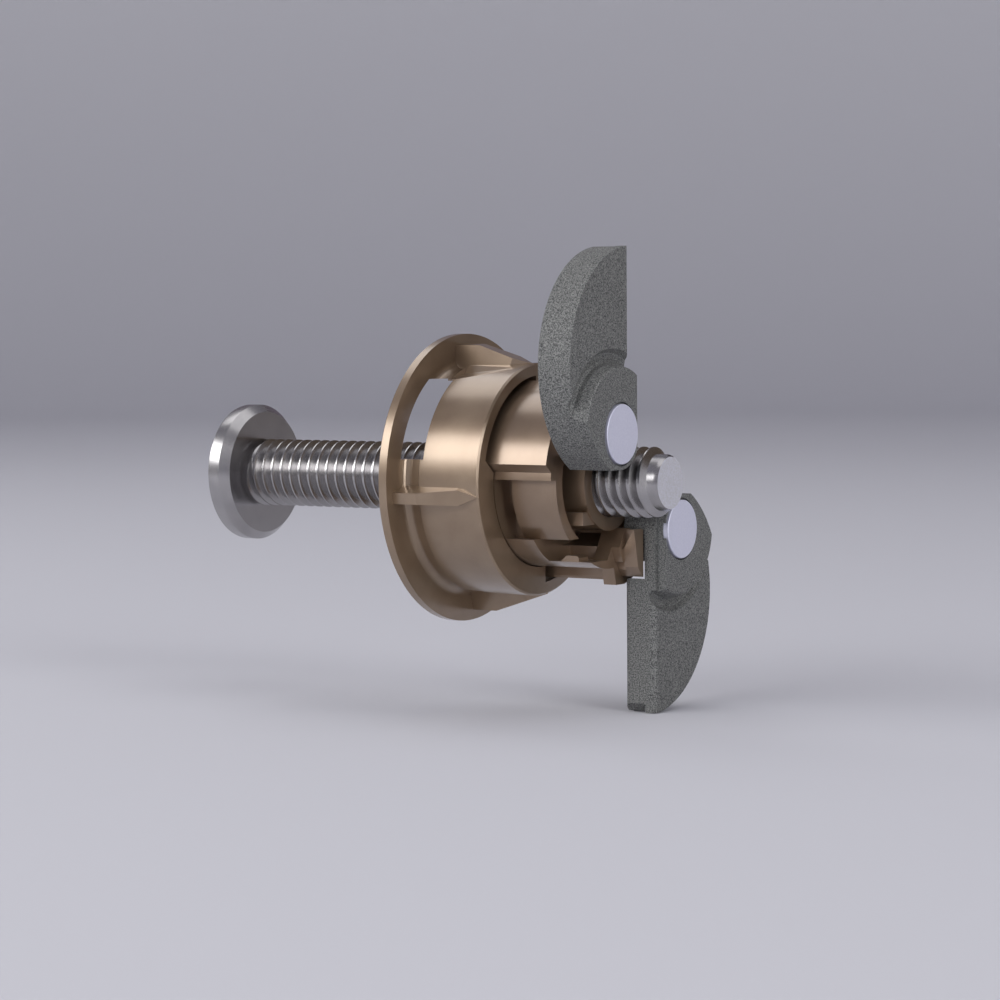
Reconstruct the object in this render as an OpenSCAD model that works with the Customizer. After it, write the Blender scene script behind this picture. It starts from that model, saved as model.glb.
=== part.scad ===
// Plasterboard fixing with two swing-out wings, for a 20 mm hole.
// Origin: centre of the flange's back face, the face that meets the wall.
// +X runs along the screw into the wall, +Z is up, and the wings stand open, one up and one down.

/* [Wall seat] */
// Radius of the round body that fills the drilled hole
seat_r = 10.0; // [9.8:0.05:10.2]
// Front edge of the round body, behind the wall's surface
seat_front_x = 1.45; // [1.2:0.05:1.9]
// Rear edge of the round body
seat_rear_x = 7.5; // [6.5:0.1:8.5]
// Radius of the flange
flange_r = 12.5; // [12.3:0.1:13.5]
// Thickness of the flange
flange_t = 0.9; // [0.7:0.05:1.3]
// Step in from the round body's radius to the recess inside the flange
recess_step = 1.0; // [0.8:0.05:1.2]
// Step in from the round body's radius to the narrow neck at the flange
neck_step = 0.3; // [0.2:0.05:0.5]
// Radius of the neck's fillet to the flange
neck_fillet = 0.7; // [0.3:0.05:0.9]
// Break on the round body's edges
seat_break = 0.15; // [0.05:0.05:0.3]

/* [Neck windows] */
// Lower edge of the window, above the axis
window_low = 2.0; // [1.5:0.1:3]
// Upper edge of the window, above the axis
window_high = 8.7; // [8:0.1:9]
// How far the window bites into the round body
window_bite = 0.5; // [0.2:0.1:0.8]
// Step out from the round body's radius to the flange's opening at the windows
window_flange_step = 0.5; // [0.2:0.1:1]

/* [Ribs] */
// Reach of the anti-turn ribs from the axis
rib_r = 11.65; // [11:0.05:12.2]
// Width of a rib at its outer face
rib_tip_w = 0.95; // [0.6:0.05:1.4]
// Width of a rib at its root
rib_root_w = 1.85; // [1.5:0.05:2.4]
// Where a rib's outer face starts to slope down
rib_slope_x = 2.4; // [1.5:0.1:4]
// Where the sides of a rib start to close to a point
rib_point_x = 5.2; // [4.5:0.1:6]
// Turn of the rib set about the axis
rib_turn = 6; // [0:1:12]
// Steepness of the flat beside each rib
gusset_tilt = 42; // [30:1:60]
// Width of the steep flat beside each rib
gusset_w = 0.7; // [0.4:0.05:1]
// Rise of the flats towards the rear
gusset_fade = 6; // [4:0.5:8]

/* [Core] */
// Step in from the round body's radius to the core inside it
core_step = 2.57; // [2.4:0.01:2.7]
// Radial gap between the core and the round body
core_gap = 0.1; // [0.05:0.01:0.2]
// Front face of the core
core_front_x = 2.3; // [2:0.1:3]
// Rear face of the core
core_rear_x = 14.4; // [14:0.1:14.5]
// Rise of the cheeks over the hinge pins above the core
cheek_rise = 0.92; // [0.8:0.01:1]
// Radial room over the cheeks in the round body
cheek_room = 0.6; // [0.3:0.05:0.7]
// Lower edge of a cheek, above the axis
cheek_low = 1.7; // [1.5:0.05:2.5]
// Drop of the sloped step under a cheek
cheek_step = 1.35; // [0.8:0.05:1.5]
// Half width of the level at which a cheek ends, beside the middle
cheek_end_y = 1.45; // [1:0.05:2]
// Rear end of a cheek and of the side panel under it
cheek_rear_x = 13.1; // [12.5:0.1:14]
// Depth of the sunk side panel below a cheek
panel_sink = 0.83; // [0.5:0.01:0.9]
// Front end of the side panel, behind its groove
panel_front_x = 8.77; // [8.4:0.01:9.2]
// Depth of the groove in front of the side panel
groove_depth = 2.5; // [2:0.1:2.6]
// Thickness of the bottom wall under the side slot, at the middle
bottom_wall = 0.73; // [0.6:0.01:1]
// Height of the side slot, between the side panel and the bottom wall
slot_h = 1.95; // [1.6:0.05:2.2]
// Front end of the side slot
slot_front_x = 10.3; // [10:0.1:12]
// Reach of the side slot past the middle
slot_reach = 0.2; // [-0.5:0.1:0.4]
// Height of the hump on the side slot's floor
hump_h = 0.5; // [0.2:0.05:0.7]
// Thickness of the core's outer wall round the rear pocket
core_wall = 1.0; // [0.8:0.05:1.2]
// Floor of the rear pocket
pocket_x = 9.6; // [9:0.1:11]
// Wall of the post round a hinge pin
post_wall = 0.6; // [0.5:0.05:0.8]
// Wall of the boss round the screw
boss_wall = 1.2; // [1:0.05:1.4]
// Width of the ledge beside the boss, from the middle
ledge_y = 4.1; // [3.9:0.05:4.3]
// Thickness of the ledge beside the boss
ledge_t = 1.1; // [0.8:0.05:1.3]

/* [Stop lugs] */
// Rear end of a stop lug, beside the open wing
lug_rear_x = 16.5; // [15:0.1:16.6]
// Length of a stop lug's rear step
lug_step = 1.3; // [1:0.1:1.5]
// Width of a stop lug at its foot
lug_w = 1.6; // [1:0.1:1.8]
// Slant of a stop lug's side
lug_tilt = 12; // [8:1:16]
// Step in from the round body's radius to a stop lug's lower end
lug_short = 1.8; // [1.6:0.1:2.4]
// Reach of a stop lug from the hinge, over which the wing's hollow runs
lug_reach = 5.0; // [4.6:0.05:5.2]
// Front end of the wide step beside a lug
tail_front_x = 13.2; // [12.8:0.1:13.5]
// Step in from the round body's radius to the wide step's lower side
tail_short = 1.1; // [0.8:0.1:1.5]
// Width of the wide step, past the lug
tail_w = 2.2; // [1.5:0.1:2.4]

/* [Screw] */
// Outside diameter of the screw's thread
screw_d = 6; // [6:1:6]
// Pitch of the screw's thread
screw_pitch = 1; // [1:0.25:1]
// Back face of the screw head, in front of the wall
head_back_x = 21.9; // [18:0.1:30]
// Diameter of the screw head
head_d = 12.2; // [11:0.1:13]
// Height of the screw head
head_h = 2.1; // [1.5:0.1:3]
// Height of the head's sloped back edge
head_bevel_h = 0.75; // [0.3:0.05:1]
// Width of the head's sloped back edge
head_bevel_w = 0.65; // [0.3:0.05:1]
// Reach of the screw behind the wall's surface
screw_tip_x = 20.3; // [15:0.1:25]
// Length of the chamfer at the screw's tip
tip_chamfer = 0.7; // [0.4:0.1:1]
// Width of the head's cross recess, tip to tip
recess_w = 3.6; // [3:0.1:4]
// Depth of the head's cross recess
recess_d = 1.5; // [1:0.1:1.7]

/* [Wings] */
// Step in from the round body's radius to the centre of each hinge pin
hinge_step = 3.45; // [3.4:0.05:3.5]
// Angle of a hinge pin above the level through the axis
hinge_a = 40.3; // [39:0.1:42]
// Turn of a wing from folded to open
fold_a = 100; // [98:1:104]
// Clearance of a folded wing's outer edge in the hole
fold_clear = 0.05; // [0:0.05:0.2]
// Gap between the core and a wing
wing_gap = 0.15; // [0.1:0.05:0.3]
// Thickness of a wing's arm
wing_t = 3.05; // [2.6:0.05:3.3]
// Height of the round hub over the arm
hub_h = 0.9; // [0.6:0.05:0.95]
// Radius of the raised hub
hub_r = 5.6; // [5:0.1:6]
// Width of the hollow round the hub
moat_w = 1.5; // [1:0.1:2]
// Depth of the hollow round the hub
moat_d = 0.6; // [0.3:0.05:0.9]
// Rounding of a wing's inner edges
wing_round = 0.6; // [0.3:0.1:0.9]
// Step in from a wing's inner side to its raised hub
hub_set = 0.35; // [0.2:0.05:0.5]
// Wall of a wing between its pin and its inner edge
wing_wall = 0.45; // [0.4:0.05:0.6]
// Running clearance of the hollow that lets a folding wing pass the stop lug
lug_clear = 0.08; // [0.05:0.01:0.2]

/* [Hinge pins] */
// Radius of a pin inside its wing
pin_r = 2.5; // [2.3:0.02:2.6]
// Radius of a pin inside the core
pin_shaft_r = 1.4; // [1.2:0.1:1.5]
// Running clearance of a pin in the core
pin_clear = 0.06; // [0.02:0.01:0.1]
// How far a pin's rear end stands out of the wing's hub
pin_proud = 0.15; // [0.05:0.05:0.3]
// Break on the rear edge of a pin
pin_break = 0.05; // [0.05:0.05:0.2]
// Width of the sunk ring round a pin in the wing
pin_ring_w = 0.18; // [0.1:0.02:0.3]
// Depth of the sunk ring round a pin in the wing
pin_ring_d = 0.35; // [0.2:0.05:0.5]
// Front end of a pin
pin_front_x = 0.5; // [0.2:0.1:0.9]
// Width of the driver slot in a pin
driver_w = 0.7; // [0.5:0.1:0.9]
// Depth of the driver slot in a pin
driver_d = 0.8; // [0.5:0.1:0.9]

/* [Retaining clips] */
// Outside radius of a retaining clip
clip_r = 2.4; // [2.3:0.05:2.4]
// Thickness of a retaining clip
clip_t = 0.4; // [0.3:0.05:0.5]
// Depth of the pin's groove for the clip
groove_d = 0.35; // [0.25:0.05:0.45]
// Gap between the core and the clip
clip_gap = 0.08; // [0.05:0.01:0.15]
// Room round a clip in the round body's front lip
clip_room = 0.15; // [0.1:0.05:0.3]

/* [Hidden] */
$fn = 96;
eps = 0.01;
far = 3 * seat_r;
recess_r = seat_r - recess_step;
neck_r = seat_r - neck_step;
window_flange_r = seat_r + window_flange_step;
core_r = seat_r - core_step;
cheek_r = core_r + cheek_rise;
panel_r = core_r - panel_sink;
wing_r = seat_r - fold_clear;
hinge_r = seat_r - hinge_step;
step_z = cheek_low - cheek_step;
screw_r = screw_d / 2;
thread_clear = 0.04;
hinge_y = hinge_r * cos(hinge_a);
hinge_z = hinge_r * sin(hinge_a);
wing_front_x = core_rear_x + wing_gap;
wing_rear_x = wing_front_x + wing_t;
hub_rear_x = wing_rear_x + hub_h;
pin_rear_x = hub_rear_x + pin_proud;
hinge_round_r = pin_r + wing_wall;
clip_x = core_front_x - clip_gap - clip_t;
boss_r = screw_r + boss_wall;
post_r = pin_shaft_r + post_wall;
slot_low = core_r - bottom_wall;
panel_low = slot_low - slot_h;
lug_low = seat_r - lug_short;
tail_low = seat_r - tail_short;
inner_y = hinge_y - hinge_round_r;
lug_y = inner_y - lug_clear;

// A round solid about the X axis, from x0 to x1
module rod(x0, x1, r) {
    translate([x0, 0, 0]) rotate([0, 90, 0]) cylinder(h = x1 - x0, r = r);
}

// A turned solid about the X axis, from a profile of [radius, x] points
module turned(points) {
    rotate([0, 90, 0]) rotate_extrude() polygon(points);
}

// A flat outline in the Y-Z plane, drawn out along X from x0 to x1
module drawn(x0, x1) {
    translate([x0, 0, 0]) rotate([90, 0, 90]) linear_extrude(x1 - x0) children();
}

// A profile in the X-Z plane, as thick as w about Y = 0
module upright(w) {
    translate([0, w / 2, 0]) rotate([90, 0, 0]) linear_extrude(w) children();
}

// Two copies, the second turned half round the axis
module both_sides() {
    children();
    rotate([180, 0, 0]) children();
}

// One anti-turn rib, pointing up: tapered section, sloped outer face and pointed rear end
module rib() {
    root = neck_r - 0.6;
    intersection() {
        drawn(-flange_t / 2, seat_rear_x)
            polygon([[-rib_root_w / 2, root], [rib_root_w / 2, root],
                     [rib_tip_w / 2, rib_r], [-rib_tip_w / 2, rib_r]]);
        upright(rib_root_w + 1)
            polygon([[-flange_t, root], [-flange_t, rib_r], [rib_slope_x, rib_r],
                     [seat_rear_x, seat_r], [seat_rear_x, root]]);
        translate([0, 0, root]) linear_extrude(rib_r)
            polygon([[-flange_t, -rib_root_w], [rib_point_x, -rib_root_w / 2],
                     [seat_rear_x, 0], [rib_point_x, rib_root_w / 2], [-flange_t, rib_root_w]]);
    }
}

// The sunk flats beside a rib's root: a steep one at the rib, then one that climbs back to the round
// over its width w. Both fade out towards the rear.
module gusset_flat(w) {
    root_y = rib_root_w / 2 + 0.05;
    sink = gusset_w * tan(gusset_tilt);
    translate([seat_front_x, 0, seat_r - 0.05])
        rotate([0, -gusset_fade, 0])
            drawn(0, seat_rear_x)
                polygon([[-root_y, 0], [-root_y - gusset_w, -sink],
                         [-root_y - gusset_w - w, -sink - w * 0.1], [-root_y - gusset_w - w, 3], [-root_y, 3]]);
}

// A side window through the neck, also cut into the flange's inner edge
module neck_window() {
    translate([0, -flange_r, window_low])
        cube([seat_front_x + window_bite, flange_r - 3, window_high - window_low]);
    intersection() {
        rod(-flange_t - 1, eps, window_flange_r);
        translate([-flange_t - 1, -flange_r, window_low])
            cube([flange_t + 2, flange_r, window_high - window_low]);
    }
}

// Flange, neck and round body, moulded with the ribs
module outer_shell() {
    lip_r = core_r - 0.9;
    color([0.53, 0.45, 0.38])
    difference() {
        union() {
            difference() {
                turned([[recess_r, -flange_t], [flange_r - 0.15, -flange_t], [flange_r, -flange_t + 0.15],
                        [flange_r, 0], [neck_r + neck_fillet, 0],
                        for (a = [15:15:75])
                            [neck_r + neck_fillet * (1 - sin(a)), neck_fillet * (1 - cos(a))],
                        [neck_r, neck_fillet], [neck_r, seat_front_x], [seat_r - seat_break, seat_front_x],
                        [seat_r, seat_front_x + seat_break], [seat_r, seat_rear_x - seat_break],
                        [seat_r - seat_break, seat_rear_x], [lip_r, seat_rear_x],
                        [lip_r, seat_front_x], [recess_r, seat_front_x]]);
                for (side = [0, 2])
                    rotate([rib_turn + 90 * side, 0, 0]) {
                        gusset_flat(2.4);
                        mirror([0, 1, 0]) gusset_flat(2.4);
                    }
            }
            for (side = [0:3])
                rotate([rib_turn + 90 * side, 0, 0]) rib();
        }
        rod(core_front_x, seat_rear_x + 1, core_r + core_gap);
        both_sides()
            drawn(core_front_x, seat_rear_x + 1) cheek_pocket();
        both_sides() neck_window();
        both_sides()
            translate([0, -hinge_y, hinge_z])
                rod(seat_front_x - eps, core_front_x + eps, clip_r + clip_room);
    }
}

// Outline of one cheek: round outside, a flat near the top, and the sloped step under it
module cheek_outline() {
    slope_y = cheek_r * cos(asin(cheek_low / cheek_r)) - panel_r;
    flat_turn = 26.4;
    flat_l = 2.4;
    intersection() {
        union() {
            circle(r = cheek_r);
            rotate(flat_turn) translate([0, cheek_r / 2]) square([flat_l, cheek_r / 2 - 0.02]);
        }
        polygon([[-screw_r, step_z], [-panel_r, step_z], [-panel_r - 2 * slope_y, cheek_low + cheek_step],
                 [-far, cheek_low + cheek_step], [-far, far], [-cheek_end_y, far], [-cheek_end_y, step_z]]);
    }
}

// The room for one cheek in the round body
module cheek_pocket() {
    slope_y = cheek_r * cos(asin(cheek_low / cheek_r)) - panel_r;
    low_z = step_z - core_gap;
    end_y = cheek_end_y - 0.8;
    intersection() {
        circle(r = cheek_r + cheek_room);
        polygon([[-screw_r, low_z], [-panel_r - core_gap, low_z],
                 [-panel_r - 2 * slope_y, cheek_low + cheek_step - 2 * core_gap], [-far, cheek_low + cheek_step],
                 [-far, far], [-end_y, far], [-end_y, low_z]]);
    }
}

// The sunk side panel below a cheek, with the groove in front of it
module side_panel() {
    panel_h = panel_low + step_z;
    for (sunk = [[panel_r, core_rear_x], [core_r - groove_depth, panel_front_x]])
        difference() {
            translate([seat_rear_x, -core_r - 2, -panel_low])
                cube([sunk[1] - seat_rear_x, core_r - 2, panel_h]);
            rod(seat_rear_x - 1, core_rear_x + 1, sunk[0]);
        }
}

// The slot through the side wall under the panel, with a low hump on its floor
module side_slot() {
    hump_x = slot_front_x + 1.0;
    hump_y = 1.5;
    difference() {
        translate([slot_front_x, -core_r - 1, -slot_low])
            cube([core_rear_x, core_r + 1 + slot_reach, slot_low - panel_low]);
        translate([0, -hump_y, -slot_low])
            rotate([90, 0, 0])
                linear_extrude(hump_y)
                    polygon([[hump_x, -eps], [hump_x + 0.6, hump_h], [hump_x + 1.6, hump_h], [hump_x + 2.2, -eps]]);
    }
}

// The hollow round the screw boss at the rear, between the two pin posts
module rear_pocket() {
    difference() {
        rod(pocket_x, core_rear_x + 1, panel_r - core_wall);
        rod(pocket_x - 1, core_rear_x + 2, boss_r);
        both_sides() {
            translate([0, -hinge_y, hinge_z]) rod(pocket_x - 1, core_rear_x + 2, post_r);
            translate([pocket_x - 1, -ledge_y, -screw_r - ledge_t / 2])
                cube([core_rear_x - pocket_x + 0.8, ledge_y, ledge_t]);
        }
    }
}

// What the core leaves out behind its side walls: all but the screw boss, the pin posts and the bottom walls
module rear_step() {
    difference() {
        rod(cheek_rear_x, core_rear_x + 1, cheek_r + 1);
        rod(cheek_rear_x - 1, core_rear_x + 2, boss_r);
        both_sides() {
            translate([0, -hinge_y, hinge_z]) rod(cheek_rear_x - 1, core_rear_x + 2, post_r);
            translate([cheek_rear_x - 1, -core_r, -core_r - 1])
                cube([core_rear_x, core_r + lug_y, core_r + 1 - slot_low + eps]);
            translate([cheek_rear_x - 1, -ledge_y, -screw_r - ledge_t / 2])
                cube([core_rear_x - cheek_rear_x + 0.8, ledge_y, ledge_t]);
        }
    }
}

// Inner body: it carries the screw's thread and the two hinge pins
module core() {
    color([0.5, 0.42, 0.35])
    difference() {
        union() {
            difference() {
                union() {
                    rod(core_front_x, core_rear_x, core_r);
                    both_sides()
                        drawn(core_front_x, cheek_rear_x) cheek_outline();
                }
                both_sides() side_panel();
                both_sides() side_slot();
                rear_pocket();
                rear_step();
            }
            both_sides() {
                tail();
                stop_lug();
            }
        }
        rod(core_front_x - 1, lug_rear_x + 1, screw_r + thread_clear);
        translate([core_front_x, 0, 0])
            turned([[0, -eps], [screw_r + 0.6, -eps], [screw_r, 0.6], [0, 0.6]]);
        both_sides()
            translate([0, -hinge_y, hinge_z]) rod(core_front_x - 1, core_rear_x + 1, pin_shaft_r + pin_clear);
    }
}

// The wide step beside a stop lug, which stands out past the core; its top climbs to the rear
module tail() {
    step_y = lug_y + tail_w;
    intersection() {
        rod(tail_front_x - 1, core_rear_x + 1, tail_low + 0.3);
        drawn(tail_front_x - 1, core_rear_x + eps)
            polygon([[0.2, -slot_low + 0.5], [0.95, -tail_low], [step_y, -tail_low], [step_y, -slot_low + 0.5]]);
        translate([0, step_y + 1, 0])
            rotate([90, 0, 0])
                linear_extrude(step_y + 2)
                    polygon([[tail_front_x, -slot_low - 0.6], [core_rear_x + 1, -slot_low + 1.2],
                             [core_rear_x + 1, -far], [tail_front_x, -far]]);
    }
}

// The lug that stands beside an open wing. A slanted web joins it to the core, and its rear step has a
// slanted side and a top that climbs to the rear. Its outer end is round about the hinge.
module stop_lug() {
    top_z = -boss_r + 0.15;
    foot_y = lug_y - lug_w;
    low_y = foot_y + (lug_low + top_z) * tan(lug_tilt);
    web_y = lug_y - 0.8;
    step_x = lug_rear_x - lug_step;
    difference() {
        union() {
            drawn(tail_front_x - 0.2, step_x + eps)
                polygon([[web_y, top_z], [-0.6, -slot_low - 0.2], [lug_y, -slot_low - 0.2], [lug_y, top_z]]);
            drawn(core_rear_x - 0.5, lug_rear_x)
                polygon([[web_y + 0.1, top_z - 0.1], [web_y + 0.1, -lug_low],
                         [lug_y - eps, -lug_low], [lug_y - eps, top_z - 0.1]]);
            intersection() {
                drawn(step_x, lug_rear_x + eps)
                    polygon([[foot_y, top_z - eps], [low_y, -lug_low - eps], [lug_y - 0.3, -lug_low - eps],
                             [lug_y - 0.3, top_z - eps]]);
                translate([0, lug_y, 0])
                    rotate([90, 0, 0])
                        linear_extrude(lug_w + 1)
                            polygon([[step_x - 1, top_z - 1.8], [step_x, top_z - 1.8], [lug_rear_x, top_z],
                                     [lug_rear_x + 1, top_z], [lug_rear_x + 1, -far], [step_x - 1, -far]]);
            }
        }
        difference() {
            translate([core_rear_x, -far, -far]) cube([far, 2 * far, 2 * far]);
            translate([0, hinge_y, -hinge_z]) rod(core_rear_x - 1, core_rear_x + far + 1, lug_reach);
        }
    }
}

// Machine screw with a flat round head; its thread is drawn as a row of equal rings
module screw() {
    head_front_x = -head_back_x - head_h;
    head_r = head_d / 2;
    front_break = 0.35;
    recess_slope = 0.7;
    blade_w = 0.9;
    root_r = screw_r - 0.61 * screw_pitch;
    turns = floor((head_back_x + screw_tip_x - tip_chamfer) / screw_pitch);
    color([0.72, 0.72, 0.72])
    difference() {
        turned([[0, head_front_x], [head_r - front_break, head_front_x], [head_r, head_front_x + front_break],
                [head_r, -head_back_x - head_bevel_h], [head_r - head_bevel_w, -head_back_x],
                for (i = [0:turns - 1])
                    each [[screw_r, -head_back_x + i * screw_pitch],
                          [root_r, -head_back_x + (i + 0.5) * screw_pitch]],
                [screw_r, -head_back_x + turns * screw_pitch], [screw_r, screw_tip_x - tip_chamfer],
                [root_r, screw_tip_x], [0, screw_tip_x]], $fn = 48);
        for (turn = [0, 90])
            rotate([turn, 0, 0])
                upright(blade_w)
                    polygon([[head_front_x - eps, -recess_w / 2],
                             [head_front_x + recess_d, recess_slope - recess_w / 2],
                             [head_front_x + recess_d, recess_w / 2 - recess_slope],
                             [head_front_x - eps, recess_w / 2]]);
    }
}

// Outline of a wing, for the lower wing in its open place
module wing_outline() {
    arc_y = hinge_y * (1 - cos(fold_a)) - hinge_z * sin(fold_a);
    arc_z = -hinge_z * (1 - cos(fold_a)) - hinge_y * sin(fold_a);
    end_z = -hinge_z + hinge_round_r;
    intersection() {
        translate([arc_y, arc_z]) circle(r = wing_r);
        union() {
            translate([hinge_y, -far]) square([far, far + end_z]);
            translate([inner_y, -far]) square([far, far - hinge_z]);
            translate([hinge_y, -hinge_z]) circle(r = hinge_round_r);
        }
    }
}

// Lower wing in its open place: arm, raised hub with a hollow round it, rounded inner edges.
// The hollow in its front face lets the wing fold past the stop lug.
module wing() {
    rim_r = hub_r + 0.25;
    difference() {
        union() {
            drawn(wing_front_x, wing_rear_x) wing_outline();
            intersection() {
                drawn(wing_front_x, hub_rear_x) wing_outline();
                translate([0, inner_y + hub_set, -far]) cube([far, far, 2 * far]);
                translate([0, hinge_y, -hinge_z])
                    turned([[0, wing_front_x], [rim_r, wing_front_x], [rim_r, wing_rear_x],
                            [hub_r, hub_rear_x - 0.15], [hub_r - 0.15, hub_rear_x], [0, hub_rear_x]]);
            }
        }
        translate([0, hinge_y, -hinge_z]) {
            turned([[rim_r, wing_rear_x + eps], [rim_r + 0.05, wing_rear_x - moat_d * 0.7],
                    [rim_r + 0.3, wing_rear_x - moat_d], [rim_r + moat_w * 0.6, wing_rear_x - moat_d * 0.75],
                    [hub_r + moat_w, wing_rear_x + eps]]);
            rod(wing_front_x - 1, hub_rear_x + 1, pin_r);
            rod(hub_rear_x - pin_ring_d, hub_rear_x + 1, pin_r + pin_ring_w);
            lug_hollow();
        }
        edge_round(wing_rear_x, 1, -hinge_z - hub_r);
        edge_round(wing_front_x, -1, -hinge_z);
        tip_corner();
    }
}

// The curved hollow about the hinge in a wing's front face, in which the stop lug runs
module lug_hollow() {
    intersection() {
        difference() {
            rod(wing_front_x - 1, lug_rear_x + lug_clear, lug_reach + lug_clear);
            rod(wing_front_x - 2, lug_rear_x + 1, hinge_round_r - 0.05);
        }
        drawn(wing_front_x - 1, wing_rear_x)
            polygon([[0, 0.3], [-far, 0.3], [-far, -far], [far, -far], [far, -far * 0.46], [0, 0]]);
    }
}

// What the rounding of an inner edge takes away, at the face at x, rear (1) or front (-1), below top_z
module edge_round(x, face, top_z) {
    translate([x - face * wing_round, inner_y + wing_round, -far])
        linear_extrude(far + top_z)
            difference() {
                translate([face > 0 ? 0 : -wing_round - 1, -wing_round - 1]) square([wing_round + 1, wing_round + 1]);
                circle(r = wing_round);
            }
}

// The small corner broken off a wing's tip
module tip_corner() {
    corner = 0.55;
    tip_z = -hinge_z * (1 - cos(fold_a)) - hinge_y * sin(fold_a) - wing_r;
    translate([wing_front_x - 1, inner_y, tip_z])
        rotate([45, 0, 0]) cube([wing_t + 3, 2 * corner, 2 * corner], center = true);
}

module wing_lower() {
    color([0.4, 0.4, 0.41]) wing();
}

module wing_upper() {
    color([0.4, 0.4, 0.41]) rotate([180, 0, 0]) wing();
}

// Hinge pin of the lower wing: thick end pressed in the wing, thin end in the core, driver slot in front
module pin() {
    groove_r = pin_shaft_r - groove_d;
    translate([0, hinge_y, -hinge_z])
        difference() {
            turned([[0, pin_front_x], [pin_shaft_r - 0.2, pin_front_x], [pin_shaft_r, pin_front_x + 0.2],
                    [pin_shaft_r, clip_x - 0.03], [groove_r, clip_x - 0.03],
                    [groove_r, clip_x + clip_t + 0.03], [pin_shaft_r, clip_x + clip_t + 0.03],
                    [pin_shaft_r, wing_front_x], [pin_r, wing_front_x], [pin_r, pin_rear_x - pin_break],
                    [pin_r - pin_break, pin_rear_x], [0, pin_rear_x]]);
            translate([pin_front_x - 1, -pin_shaft_r - 1, -driver_w / 2])
                cube([1 + driver_d, 2 * pin_shaft_r + 2, driver_w]);
        }
}

module pin_lower() {
    color([0.68, 0.68, 0.75]) pin();
}

module pin_upper() {
    color([0.68, 0.68, 0.75]) rotate([180, 0, 0]) pin();
}

// Retaining clip of the lower pin: an open ring in the pin's groove, against the core's front
module clip() {
    bore_r = pin_shaft_r - groove_d + 0.02;
    translate([0, hinge_y, -hinge_z])
        difference() {
            rod(clip_x, clip_x + clip_t, clip_r);
            rod(clip_x - 1, clip_x + clip_t + 1, bore_r);
            translate([clip_x - 1, 0, -bore_r * 0.8]) cube([clip_t + 2, clip_r + 1, bore_r * 1.6]);
        }
}

module clip_lower() {
    color([0.55, 0.55, 0.57]) clip();
}

module clip_upper() {
    color([0.55, 0.55, 0.57]) rotate([180, 0, 0]) clip();
}

outer_shell();
core();
screw();
wing_upper();
wing_lower();
pin_upper();
pin_lower();
clip_upper();
clip_lower();
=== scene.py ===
"""Looks of the plasterboard fixing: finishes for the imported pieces, the screw with its real thread,
camera, light and floor."""
import math

import bmesh
import bpy
from mathutils import Matrix, Vector


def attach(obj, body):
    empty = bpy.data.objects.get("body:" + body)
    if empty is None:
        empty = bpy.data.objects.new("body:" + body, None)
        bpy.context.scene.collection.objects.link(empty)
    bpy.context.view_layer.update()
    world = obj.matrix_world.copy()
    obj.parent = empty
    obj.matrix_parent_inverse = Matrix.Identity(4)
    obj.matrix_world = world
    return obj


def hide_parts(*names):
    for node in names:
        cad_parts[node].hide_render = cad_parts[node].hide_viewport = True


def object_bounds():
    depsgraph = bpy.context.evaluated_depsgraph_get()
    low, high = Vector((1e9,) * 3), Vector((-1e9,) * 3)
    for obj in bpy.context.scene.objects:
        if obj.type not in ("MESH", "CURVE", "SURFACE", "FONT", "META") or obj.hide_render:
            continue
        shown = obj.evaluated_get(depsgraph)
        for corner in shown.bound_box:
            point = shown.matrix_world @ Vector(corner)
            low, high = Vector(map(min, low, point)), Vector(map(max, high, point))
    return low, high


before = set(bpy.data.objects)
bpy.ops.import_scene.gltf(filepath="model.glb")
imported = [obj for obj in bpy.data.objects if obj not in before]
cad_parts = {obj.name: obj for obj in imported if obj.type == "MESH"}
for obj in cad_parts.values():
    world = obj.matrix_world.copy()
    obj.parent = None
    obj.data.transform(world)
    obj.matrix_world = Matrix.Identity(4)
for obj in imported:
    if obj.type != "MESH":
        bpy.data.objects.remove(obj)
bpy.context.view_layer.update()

MM = 0.001

# Camera, as worked out from the round outlines about the screw's axis
VIEW_TURN = math.radians(32.70)
VIEW_RISE = math.radians(3.48)
VIEW_ROLL = math.radians(-0.41)
VIEW_DISTANCE = 278.95 * MM
SENSOR = 36.0
LENS = 115.2
CLIP_START = 0.01
IMAGE_SIDE = 1000.0
ORIGIN_PIXEL = (467.8, 477.3)

# Screw, in millimetres, as in the part's source
SCREW_R = 3.0
PITCH = 1.0
THREAD_DEPTH = 0.61
HEAD_R = 6.1
HEAD_H = 2.1
HEAD_BACK = -21.9
HEAD_FRONT = HEAD_BACK - HEAD_H
HEAD_BEVEL_H = 0.75
HEAD_BEVEL_W = 0.65
TIP = 20.3
TIP_CHAMFER = 0.7

# Screw, in millimetres, where it is finer than the part's source.
# The head's front edge is rounded by steps back from the front and in from the rim.
HEAD_ROUND = ((0, 0.35), (0.05, 0.2), (0.17, 0.05), (0.35, 0))
HEAD_FILLET = 0.25
END_ROUND_L = 0.35
END_ROUND_H = 0.2
END_FACE_DEPTH = 0.1
TURNED_STEPS = 96
TURNED_WELD = 1e-4

# Cross recess, in millimetres, and the shares of its arms' width and thickness left at its floor
RECESS_W = 3.6
RECESS_D = 1.5
RECESS_BLADE = 0.9
RECESS_FLOOR_W = 0.6
RECESS_FLOOR_BLADE = 0.85

# Thread ridge, in millimetres: its foot is sunk in the screw's core, it starts inside the head,
# and it runs out over the last part of a turn
CREST_HALF = PITCH / 16
ROOT_HALF = PITCH * 7 / 16
THREAD_SUNK = 0.05
THREAD_IN_HEAD = 0.4
THREAD_STEPS = 40
RUN_OUT_TURNS = 0.6

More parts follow.
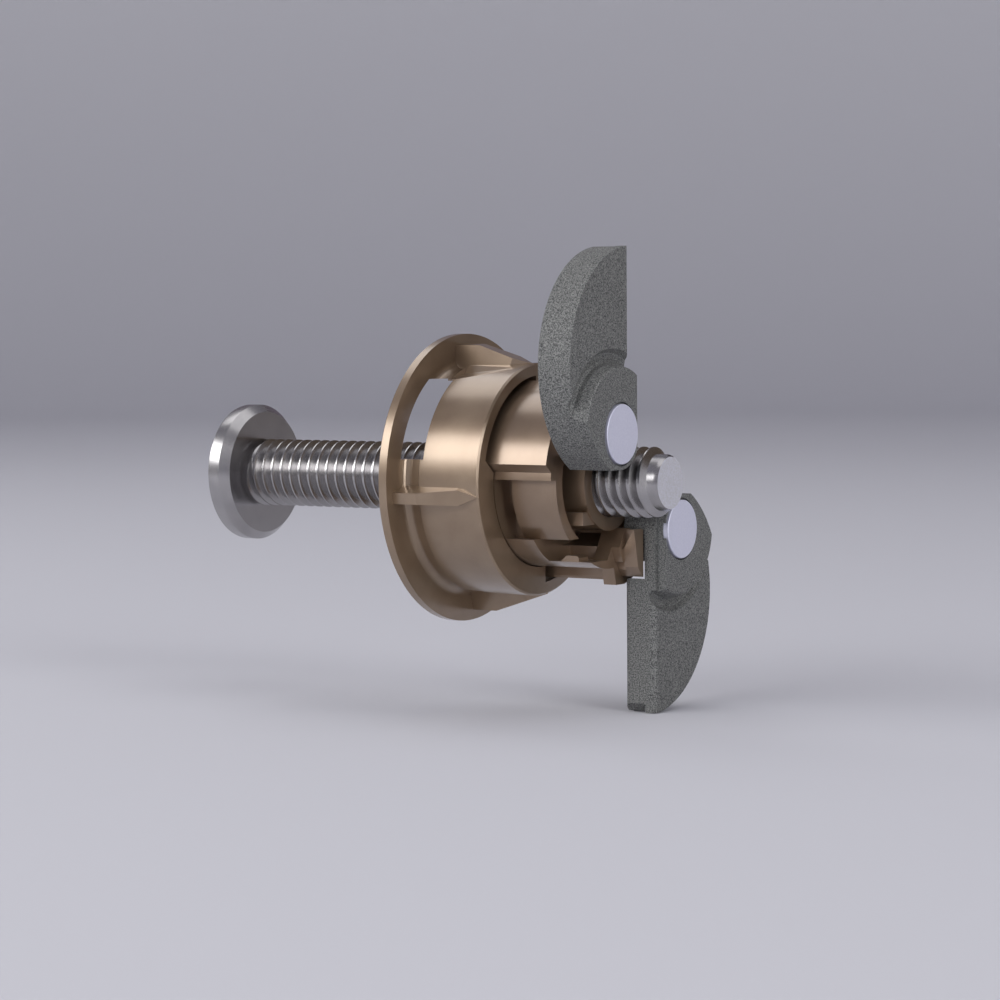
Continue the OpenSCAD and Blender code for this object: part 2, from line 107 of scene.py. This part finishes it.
# Grain of the finishes, in metres, and how deep it goes. The mould's grit and the grinding marks
# are drawn coarser than the real ones, which are too fine to show.
PIGMENT_FLOW = 2.5 * MM
MOULD_GRIT = 0.12 * MM
MOULD_GRIT_DEPTH = 0.02 * MM
ZINC_CLOUD = 1.5 * MM
SAND_GRAIN = 0.12 * MM
SAND_DEPTH = 0.06 * MM
GRIND_GRAIN = 0.15 * MM
GRIND_DEPTH = 0.02 * MM

# Edges flatter than this many degrees are shaded smooth
SMOOTH_BELOW = 35

# Studio, in metres
COVE_GAP = 0.05 * MM
COVE_FLOOR_RADIUS = 0.75
COVE_BEND = 0.30
COVE_BEND_STEPS = 8
COVE_HEIGHT = 0.75
COVE_TURN_STEPS = 64
COVE_WELD = 1e-6
COVE_FLOOR_PAINT = "#CACAD0"
COVE_WALL_PAINT = "#F4F4F6"

# Lamps: direction from the object, distance, width and height in metres, power in watts
LAMPS = {
    "front_softbox": ((-0.55, -0.74, 0.44), 0.55, 0.8, 0.22, 2.4),
    "top_softbox": ((0.25, 0.15, 1.0), 0.6, 0.5, 0.5, 0.7),
    "side_softbox": ((1.0, -0.35, 0.35), 0.6, 0.25, 0.4, 1.4),
    "back_softbox": ((-0.54, 0.26, 0.79), 0.6, 0.3, 0.26, 0.35),
}

# Glowing cards that paint reflections into the shiny faces: direction from the object, distance,
# width and height in metres, tone
CARDS = {
    "brown_grey_card": ((0.54, 0.84, 0.0), 0.5, 0.9, 0.9, "#61564D"),
    "purple_grey_card": ((-0.54, 0.84, 0.2), 0.5, 0.4, 0.4, "#6E6772"),
    "dark_grey_card": ((-0.54, -0.84, -0.02), 0.45, 0.6, 0.17, "#8F8D93"),
}
CEILING_COLOUR = "#B9B7C4"
CEILING_STRENGTH = 0.48


def srgb(code):
    """A hex colour as the linear values that a shader takes."""
    values = [int(code[i:i + 2], 16) / 255 for i in (1, 3, 5)]
    linear = [v / 12.92 if v <= 0.04045 else ((v + 0.055) / 1.055) ** 2.4 for v in values]
    return (*linear, 1.0)


def add_node(tree, kind, settings=None, **sockets):
    """Adds a node with its settings; a socket's value is a plain value or the output that feeds it.
    A socket whose name the node repeats is given by its number instead, as i6."""
    node = tree.nodes.new(kind)
    for name, value in (settings or {}).items():
        setattr(node, name, value)
    for name, value in sockets.items():
        numbered = name[0] == "i" and name[1:].isdigit()
        socket = node.inputs[int(name[1:]) if numbered else name.replace("_", " ")]
        if isinstance(value, bpy.types.NodeSocket):
            tree.links.new(value, socket)
        else:
            socket.default_value = value
    return node


def new_material(name, **shader):
    """A material with one Principled shader, whose constant values are set on its own sockets."""
    material = bpy.data.materials.new(name)
    material.use_nodes = True
    tree = material.node_tree
    tree.nodes.clear()
    principled = add_node(tree, "ShaderNodeBsdfPrincipled", **shader)
    output = add_node(tree, "ShaderNodeOutputMaterial")
    tree.links.new(principled.outputs["BSDF"], output.inputs["Surface"])
    return material, tree, principled


def bronze_polyamide(name, colour, shade):
    """Glass-filled polyamide with bronze pigment, moulded in a polished tool: a satin metallic
    sheen under a thin gloss, with a faint cloudy flow of the pigment and a very slight waviness in
    the reflections."""
    material, tree, shader = new_material(name, Metallic=0.65, Specular_IOR_Level=1.0,
                                          Coat_Weight=1.0, Coat_Roughness=0.22)
    place = add_node(tree, "ShaderNodeTexCoord").outputs["Object"]
    flow = add_node(tree, "ShaderNodeTexNoise", Vector=place, Scale=1 / PIGMENT_FLOW,
                    Detail=4.0).outputs["Fac"]
    tint = add_node(tree, "ShaderNodeValToRGB", Fac=flow)
    tint.color_ramp.elements[0].position = 0.3
    tint.color_ramp.elements[0].color = srgb(shade)
    tint.color_ramp.elements[1].position = 0.7
    tint.color_ramp.elements[1].color = srgb(colour)
    tree.links.new(tint.outputs["Color"], shader.inputs["Base Color"])
    haze = add_node(tree, "ShaderNodeMapRange", Value=flow, To_Min=0.28, To_Max=0.34)
    tree.links.new(haze.outputs["Result"], shader.inputs["Roughness"])
    grit = add_node(tree, "ShaderNodeTexNoise", Vector=place, Scale=1 / MOULD_GRIT,
                    Detail=2.0).outputs["Fac"]
    bump = add_node(tree, "ShaderNodeBump", Height=grit, Strength=0.05, Distance=MOULD_GRIT_DEPTH)
    tree.links.new(bump.outputs["Normal"], shader.inputs["Normal"])
    return material


def zinc_plated_steel():
    """Cold-headed steel with a bright zinc plating: a clean cool-white metal, a little clouded."""
    material, tree, shader = new_material("bright_zinc_plated_steel", Metallic=1.0)
    place = add_node(tree, "ShaderNodeTexCoord").outputs["Object"]
    cloud = add_node(tree, "ShaderNodeTexNoise", Vector=place, Scale=1 / ZINC_CLOUD,
                     Detail=3.0).outputs["Fac"]
    tint = add_node(tree, "ShaderNodeValToRGB", Fac=cloud)
    tint.color_ramp.elements[0].position = 0.3
    tint.color_ramp.elements[0].color = srgb("#AAA8A9")
    tint.color_ramp.elements[1].position = 0.7
    tint.color_ramp.elements[1].color = srgb("#B4B2B2")
    tree.links.new(tint.outputs["Color"], shader.inputs["Base Color"])
    haze = add_node(tree, "ShaderNodeMapRange", Value=cloud, To_Min=0.22, To_Max=0.27)
    tree.links.new(haze.outputs["Result"], shader.inputs["Roughness"])
    return material


def cast_steel():
    """Sand-cast steel, tumbled but not machined: a dark dull grey with a sharp salt-and-pepper
    grain, as the sand leaves it."""
    material, tree, shader = new_material("sand_cast_steel", Metallic=0.2)
    place = add_node(tree, "ShaderNodeTexCoord").outputs["Object"]
    grain = add_node(tree, "ShaderNodeTexNoise", Vector=place, Scale=1 / SAND_GRAIN, Detail=3.0,
                     Roughness=0.75).outputs["Fac"]
    tint = add_node(tree, "ShaderNodeValToRGB", Fac=grain)
    tint.color_ramp.elements[0].position = 0.36
    tint.color_ramp.elements[0].color = srgb("#2C2D2F")
    tint.color_ramp.elements[1].position = 0.64
    tint.color_ramp.elements[1].color = srgb("#8F908D")
    tree.links.new(tint.outputs["Color"], shader.inputs["Base Color"])
    dull = add_node(tree, "ShaderNodeMapRange", Value=grain, To_Min=0.75, To_Max=0.55)
    tree.links.new(dull.outputs["Result"], shader.inputs["Roughness"])
    bump = add_node(tree, "ShaderNodeBump", Height=grain, Strength=0.6, Distance=SAND_DEPTH)
    tree.links.new(bump.outputs["Normal"], shader.inputs["Normal"])
    return material


def ground_steel(name, colour):
    """Steel with a ground or cropped surface, for the pins, the clips and the screw's end: a smooth
    pale grey with a fine even grain and no sharp reflections."""
    material, tree, shader = new_material(name, Metallic=0.4, Roughness=0.5)
    place = add_node(tree, "ShaderNodeTexCoord").outputs["Object"]
    grain = add_node(tree, "ShaderNodeTexNoise", Vector=place, Scale=1 / GRIND_GRAIN,
                     Detail=2.0).outputs["Fac"]
    tint = add_node(tree, "ShaderNodeMix", {"data_type": "RGBA"}, i0=grain, i6=srgb(colour),
                    i7=srgb("#E0E1F0"))
    tree.links.new(tint.outputs[2], shader.inputs["Base Color"])
    bump = add_node(tree, "ShaderNodeBump", Height=grain, Strength=0.08, Distance=GRIND_DEPTH)
    tree.links.new(bump.outputs["Normal"], shader.inputs["Normal"])
    return material


def dress(node, material):
    """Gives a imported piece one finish."""
    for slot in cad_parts[node].material_slots:
        slot.material = material


def placed(name, mesh, material=None):
    """Turns a bmesh into an object in the scene."""
    data = bpy.data.meshes.new(name)
    mesh.to_mesh(data)
    mesh.free()
    if material is not None:
        data.materials.append(material)
    made = bpy.data.objects.new(name, data)
    bpy.context.scene.collection.objects.link(made)
    return made


def piece(name, mesh, material, body):
    """Turns a bmesh into a finished piece that rides on a body."""
    bmesh.ops.recalc_face_normals(mesh, faces=mesh.faces)
    made = placed(name, mesh, material)
    made.data.shade_smooth()
    made.data.set_sharp_from_angle(angle=math.radians(SMOOTH_BELOW))
    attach(made, body)
    return made


def spun(profile):
    """A closed turned form about the X axis from (x, radius) points in millimetres, on the axis at
    both ends."""
    mesh = bmesh.new()
    verts = [mesh.verts.new((x * MM, 0, r * MM)) for x, r in profile]
    edges = [mesh.edges.new(pair) for pair in zip(verts, verts[1:])]
    bmesh.ops.spin(mesh, geom=verts + edges, cent=(0, 0, 0), axis=(1, 0, 0), angle=math.tau,
                   steps=TURNED_STEPS, use_merge=True)
    bmesh.ops.remove_doubles(mesh, verts=mesh.verts, dist=TURNED_WELD * MM)
    return mesh


def screw_body(material, end_finish):
    """Head and core of the screw, with the cross recess cut in the head's front and the cropped end
    face in its own finish."""
    root = SCREW_R - THREAD_DEPTH
    profile = [(HEAD_FRONT, 0)]
    profile += [(HEAD_FRONT + back, HEAD_R - inward) for back, inward in HEAD_ROUND]
    profile += [(HEAD_BACK - HEAD_BEVEL_H, HEAD_R), (HEAD_BACK, HEAD_R - HEAD_BEVEL_W),
                (HEAD_BACK, root + HEAD_FILLET), (HEAD_BACK + HEAD_FILLET, root),
                (TIP - END_ROUND_L, root), (TIP, root - END_ROUND_H), (TIP, 0)]
    screw = piece("threaded_screw", spun(profile), material, "screw")
    for turn in (0, 90):
        carve(screw, recess_blade(turn))
    end_slot = len(screw.data.materials)
    screw.data.materials.append(end_finish)
    for face in screw.data.polygons:
        if face.center.x > (TIP - END_FACE_DEPTH) * MM:
            face.material_index = end_slot
    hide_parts("screw")


def carve(target, cutter):
    """Cuts one form out of another and keeps the result as the target's own mesh."""
    modifier = target.modifiers.new("carve", "BOOLEAN")
    modifier.operation = "DIFFERENCE"
    modifier.solver = "EXACT"
    modifier.object = cutter
    graph = bpy.context.evaluated_depsgraph_get()
    carved = bpy.data.meshes.new_from_object(target.evaluated_get(graph))
    target.modifiers.clear()
    target.data = carved
    bpy.data.objects.remove(cutter)


def recess_blade(turn):
    """One arm pair of the cross recess, tapered to its floor and turned about the screw's axis."""
    mesh = bmesh.new()
    bmesh.ops.create_cube(mesh, size=1.0)
    bmesh.ops.scale(mesh, vec=(2 * RECESS_D * MM, RECESS_BLADE * MM, RECESS_W * MM),
                    verts=mesh.verts)
    floor = [vert for vert in mesh.verts if vert.co.x > 0]
    bmesh.ops.scale(mesh, vec=(1, RECESS_FLOOR_BLADE, RECESS_FLOOR_W), verts=floor)
    bmesh.ops.translate(mesh, vec=(HEAD_FRONT * MM, 0, 0), verts=mesh.verts)
    bmesh.ops.rotate(mesh, cent=(0, 0, 0), matrix=Matrix.Rotation(math.radians(turn), 3, "X"),
                     verts=mesh.verts)
    return placed("recess_blade", mesh)


def thread_ridge(material):
    """The rolled thread: one ridge of true M6 section wound the screw's whole length, cut back at
    the tip's chamfer and sinking into the core at its end."""
    root = SCREW_R - THREAD_DEPTH - THREAD_SUNK
    section = [(-ROOT_HALF, root), (-CREST_HALF, SCREW_R), (CREST_HALF, SCREW_R), (ROOT_HALF, root)]
    start = HEAD_BACK - THREAD_IN_HEAD
    turns = int((TIP - start) / PITCH)
    mesh = bmesh.new()
    face = mesh.faces.new([mesh.verts.new(((start + x) * MM, 0, r * MM)) for x, r in section])
    bmesh.ops.spin(mesh, geom=[face], cent=(0, 0, 0), axis=(1, 0, 0),
                   dvec=(PITCH * MM / THREAD_STEPS, 0, 0), angle=math.tau * turns,
                   steps=THREAD_STEPS * turns, use_merge=False)
    chamfer_start = TIP - TIP_CHAMFER
    for vert in mesh.verts:
        x = vert.co.x / MM
        radius = math.hypot(vert.co.y, vert.co.z) / MM
        share = math.atan2(-vert.co.y, vert.co.z) / math.tau
        wound = share + round((x - start) / PITCH - share)
        fade = min(1.0, (turns - wound) / RUN_OUT_TURNS)
        limit = SCREW_R - max(0.0, x - chamfer_start) * THREAD_DEPTH / TIP_CHAMFER
        height = root + (min(radius, limit) - root) * fade
        vert.co.y *= height / radius
        vert.co.z *= height / radius
    ridge = piece("screw_thread", mesh, material, "screw")
    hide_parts("screw")


def place_camera():
    """The photograph's viewpoint: direction, distance, roll and the pixel where the origin is."""
    back = Vector((math.sin(VIEW_TURN) * math.cos(VIEW_RISE),
                   -math.cos(VIEW_TURN) * math.cos(VIEW_RISE), math.sin(VIEW_RISE)))
    level = Vector((math.cos(VIEW_TURN), math.sin(VIEW_TURN), 0))
    upright = back.cross(level)
    right = level * math.cos(VIEW_ROLL) + upright * math.sin(VIEW_ROLL)
    up = upright * math.cos(VIEW_ROLL) - level * math.sin(VIEW_ROLL)
    pixel = VIEW_DISTANCE * SENSOR / LENS / IMAGE_SIDE
    across = (IMAGE_SIDE / 2 - ORIGIN_PIXEL[0]) * pixel
    along = (ORIGIN_PIXEL[1] - IMAGE_SIDE / 2) * pixel
    data = bpy.data.cameras.new("camera")
    data.lens = LENS
    data.sensor_width = SENSOR
    data.clip_start = CLIP_START
    camera = bpy.data.objects.new("camera", data)
    place = back * VIEW_DISTANCE + right * across + up * along
    turn = Matrix((right, up, back)).transposed().to_4x4()
    camera.matrix_world = Matrix.Translation(place) @ turn
    bpy.context.scene.collection.objects.link(camera)
    bpy.context.scene.camera = camera


def pale_cove():
    """A plain pale floor that curves up into a wall all round, painted paler with height."""
    material, tree, shader = new_material("painted_studio_cove", Roughness=0.9)
    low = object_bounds()[0][2] - COVE_GAP
    place = add_node(tree, "ShaderNodeTexCoord").outputs["Object"]
    level = add_node(tree, "ShaderNodeSeparateXYZ", Vector=place).outputs["Z"]
    climb = add_node(tree, "ShaderNodeMapRange", Value=level, From_Min=low,
                     From_Max=low + COVE_BEND).outputs["Result"]
    paint = add_node(tree, "ShaderNodeMix", {"data_type": "RGBA"}, i0=climb,
                     i6=srgb(COVE_FLOOR_PAINT), i7=srgb(COVE_WALL_PAINT))
    tree.links.new(paint.outputs[2], shader.inputs["Base Color"])
    mesh = bmesh.new()
    points = [(0.0, low), (COVE_FLOOR_RADIUS, low)]
    for step in range(1, COVE_BEND_STEPS + 1):
        angle = math.radians(90 * step / COVE_BEND_STEPS)
        points.append((COVE_FLOOR_RADIUS + COVE_BEND * math.sin(angle),
                       low + COVE_BEND * (1 - math.cos(angle))))
    points.append((COVE_FLOOR_RADIUS + COVE_BEND, low + COVE_HEIGHT))
    verts = [mesh.verts.new((r, 0, z)) for r, z in points]
    edges = [mesh.edges.new(pair) for pair in zip(verts, verts[1:])]
    bmesh.ops.spin(mesh, geom=verts + edges, cent=(0, 0, 0), axis=(0, 0, 1), angle=math.tau,
                   steps=COVE_TURN_STEPS, use_merge=True)
    bmesh.ops.remove_doubles(mesh, verts=mesh.verts, dist=COVE_WELD)
    cove = placed("studio_cove", mesh, material)
    cove.data.shade_smooth()


def softbox(name, direction, distance, width, height, power):
    """A rectangular soft lamp aimed at the object's middle."""
    data = bpy.data.lights.new(name, "AREA")
    data.shape = "RECTANGLE"
    data.size = width
    data.size_y = height
    data.energy = power
    lamp = bpy.data.objects.new(name, data)
    aim = Vector(direction).normalized()
    lamp.location = aim * distance
    lamp.rotation_euler = aim.to_track_quat("Z", "Y").to_euler()
    lamp.visible_camera = False
    bpy.context.scene.collection.objects.link(lamp)


def mirrored_card(name, direction, distance, width, height, colour):
    """A glowing card of one even tone that only shiny faces see: a painted reflection. It lights no
    other face and throws no shadow.
    """
    material = new_material(name, Base_Color=(0, 0, 0, 1), Roughness=1.0, Specular_IOR_Level=0.0,
                            Emission_Color=srgb(colour), Emission_Strength=1.0)[0]
    mesh = bmesh.new()
    bmesh.ops.create_grid(mesh, x_segments=1, y_segments=1, size=0.5)
    bmesh.ops.scale(mesh, vec=(width, height, 1), verts=mesh.verts)
    aim = Vector(direction).normalized()
    turn = aim.to_track_quat("Z", "Y").to_matrix().to_4x4()
    bmesh.ops.transform(mesh, matrix=Matrix.Translation(aim * distance) @ turn, verts=mesh.verts)
    card = placed(name, mesh, material)
    card.visible_camera = False
    card.visible_diffuse = False
    card.visible_shadow = False


def light_studio():
    """Four soft lamps, three glowing cards that paint reflections into the shiny faces, and a cool
    grey ceiling.
    """
    for name, lamp in LAMPS.items():
        softbox(name, *lamp)
    for name, card in CARDS.items():
        mirrored_card(name, *card)
    world = bpy.data.worlds.new("studio_ceiling")
    world.use_nodes = True
    tree = world.node_tree
    tree.nodes.clear()
    ceiling = add_node(tree, "ShaderNodeBackground", Color=srgb(CEILING_COLOUR),
                       Strength=CEILING_STRENGTH)
    output = add_node(tree, "ShaderNodeOutputWorld")
    tree.links.new(ceiling.outputs["Background"], output.inputs["Surface"])
    bpy.context.scene.world = world


scene = bpy.context.scene
scene.view_settings.view_transform = "Standard"

place_camera()
pale_cove()
light_studio()

steel = zinc_plated_steel()
screw_body(steel, ground_steel("cropped_steel_end", "#BDBCB9"))
thread_ridge(steel)

dress("outer_shell", bronze_polyamide("bronze_moulded_polyamide", "#98836B", "#8C765F"))
dress("core", bronze_polyamide("bronze_moulded_polyamide_core", "#937D67", "#88725C"))
wing_finish = cast_steel()
dress("wing_upper", wing_finish)
dress("wing_lower", wing_finish)
pin_finish = ground_steel("ground_steel_pin", "#D0D1E4")
dress("pin_upper", pin_finish)
dress("pin_lower", pin_finish)
clip_finish = ground_steel("spring_steel_clip", "#8E9096")
dress("clip_upper", clip_finish)
dress("clip_lower", clip_finish)
